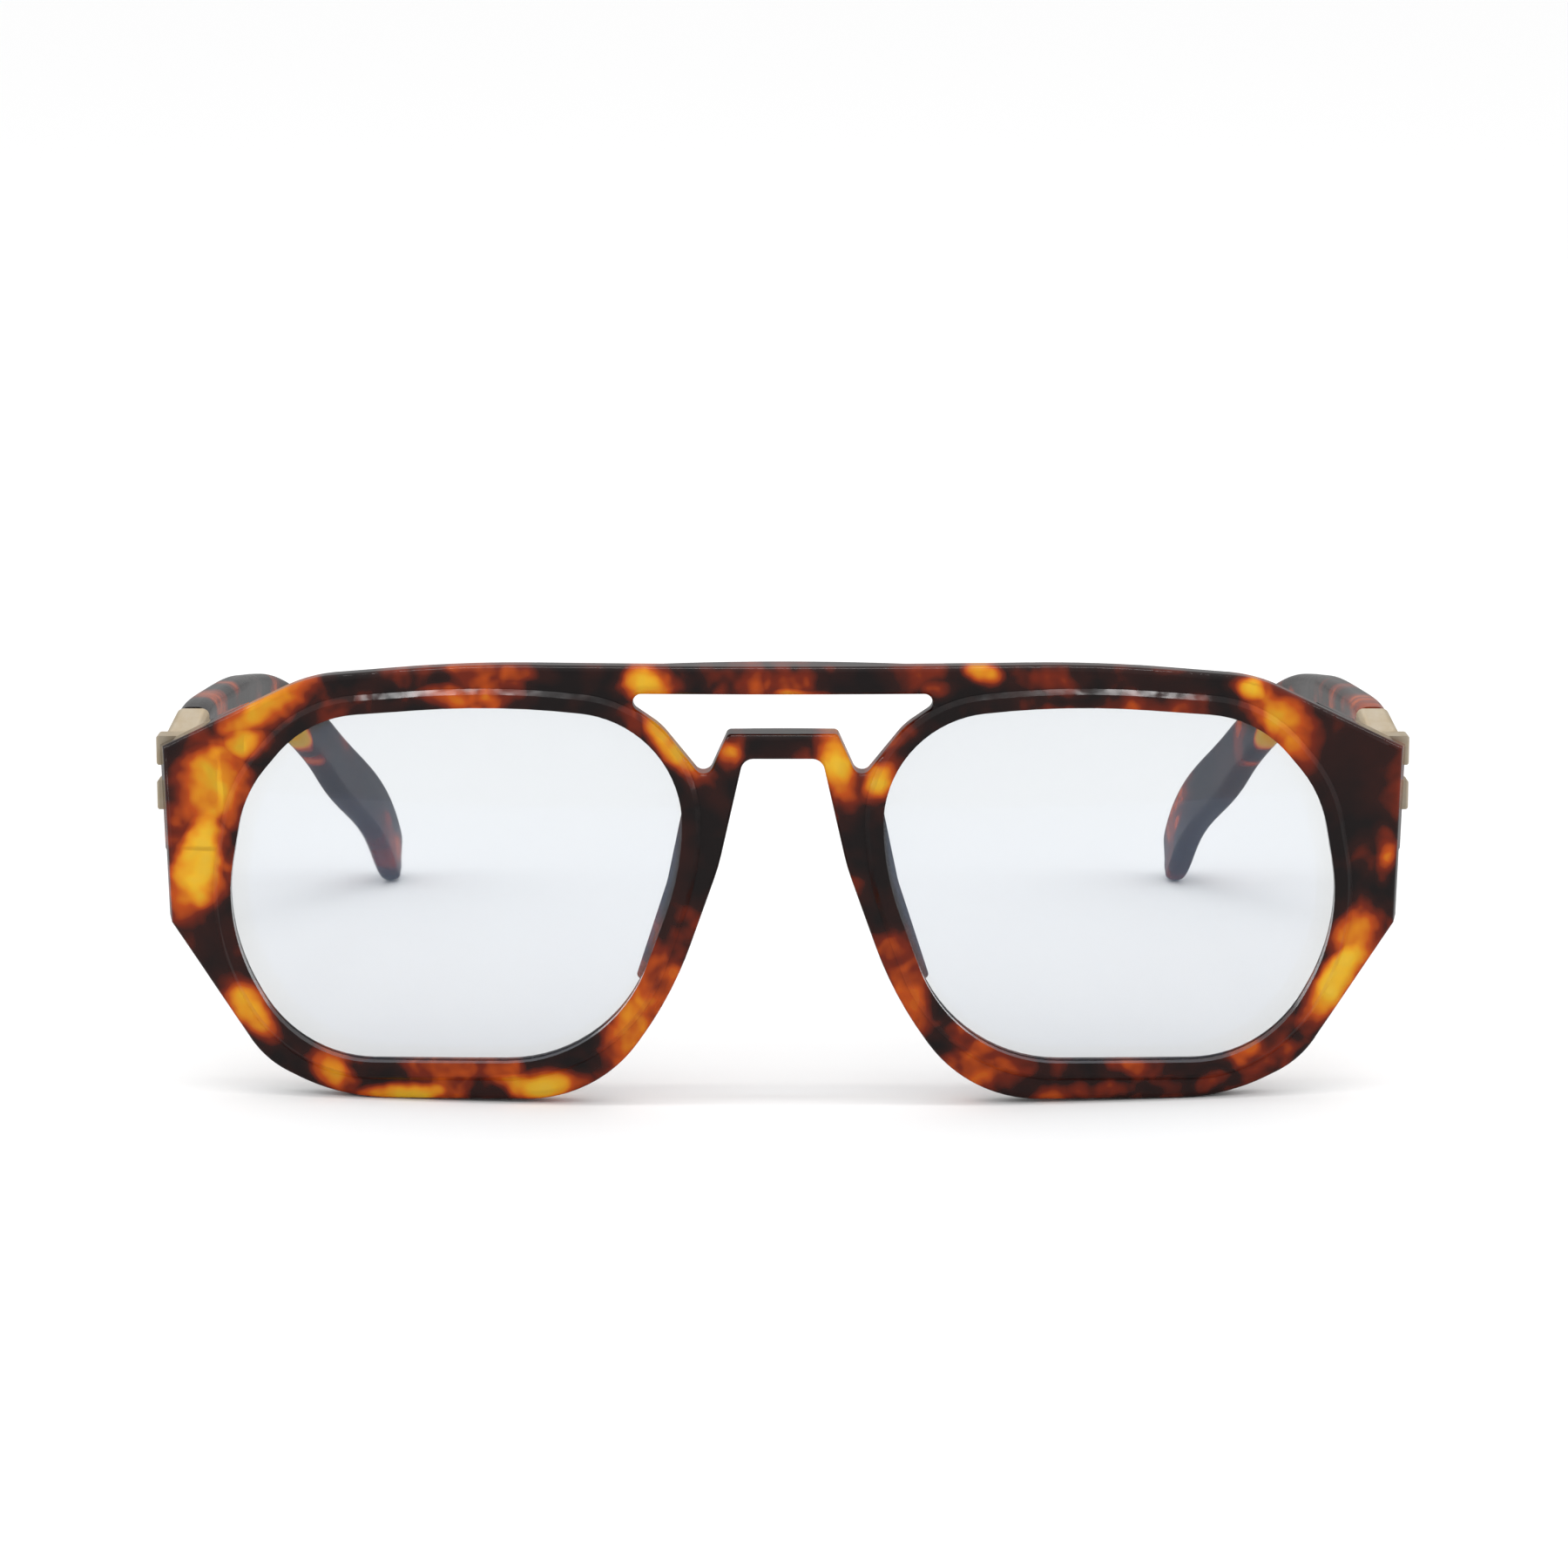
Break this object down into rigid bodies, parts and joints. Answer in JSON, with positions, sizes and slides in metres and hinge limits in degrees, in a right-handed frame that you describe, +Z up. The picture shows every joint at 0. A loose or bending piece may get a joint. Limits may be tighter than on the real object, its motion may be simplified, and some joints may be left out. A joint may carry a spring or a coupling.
{
  "type": "eyeglasses",
  "caption": "Acetate eyeglasses with a double bridge, clear glazed rims and two folding temples on metal hinges.",
  "frame": {"origin": "on the table, under the middle of the glasses' box as they stand on the lower rims and the temple tips", "axes": "+Z up, the front's lenses look towards -Y, the temples reach towards +Y, and the wearer's left is +X"},
  "size_m": [0.149, 0.1294, 0.0522],
  "materials": {
    "front_acetate": "polished tortoiseshell acetate",
    "temple_acetate": "polished tortoiseshell acetate",
    "pad_acetate": "polished tortoiseshell acetate",
    "lens": "clear with a faint blue coating",
    "gold_metal": "matte champagne gold",
    "hinge_metal": "satin gold",
    "screw_steel": "satin",
    "core_steel": "satin"
  },
  "bodies": {
    "front": {"front_frame": "front_acetate", "lens_left": "lens", "nose_pad_left": "pad_acetate", "front_hinge_leaf_left": "hinge_metal", "front_rivets_left": "hinge_metal", "hinge_screw_left": "screw_steel", "lens_right": "lens", "nose_pad_right": "pad_acetate", "front_hinge_leaf_right": "hinge_metal", "front_rivets_right": "hinge_metal", "hinge_screw_right": "screw_steel"},
    "left_temple": {"temple_head_left": "gold_metal", "trim_bars_left": "gold_metal", "temple_hinge_leaf_left": "hinge_metal", "leaf_screws_left": "screw_steel", "temple_left": "temple_acetate", "temple_core_left": "core_steel"},
    "right_temple": {"temple_head_right": "gold_metal", "trim_bars_right": "gold_metal", "temple_hinge_leaf_right": "hinge_metal", "leaf_screws_right": "screw_steel", "temple_right": "temple_acetate", "temple_core_right": "core_steel"}
  },
  "joints": [
    {"name": "temple_fold_left", "type": "hinge", "parent": "front", "child": "left_temple", "pos_m": [0.0684, -0.04945, 0.03639], "axis": [0, 0.0262, 0.9997], "range_deg": [0, 84]},
    {"name": "temple_fold_right", "type": "hinge", "parent": "front", "child": "right_temple", "pos_m": [-0.0684, -0.04945, 0.03639], "axis": [0, -0.0262, -0.9997], "range_deg": [0, 78]}
  ]
}
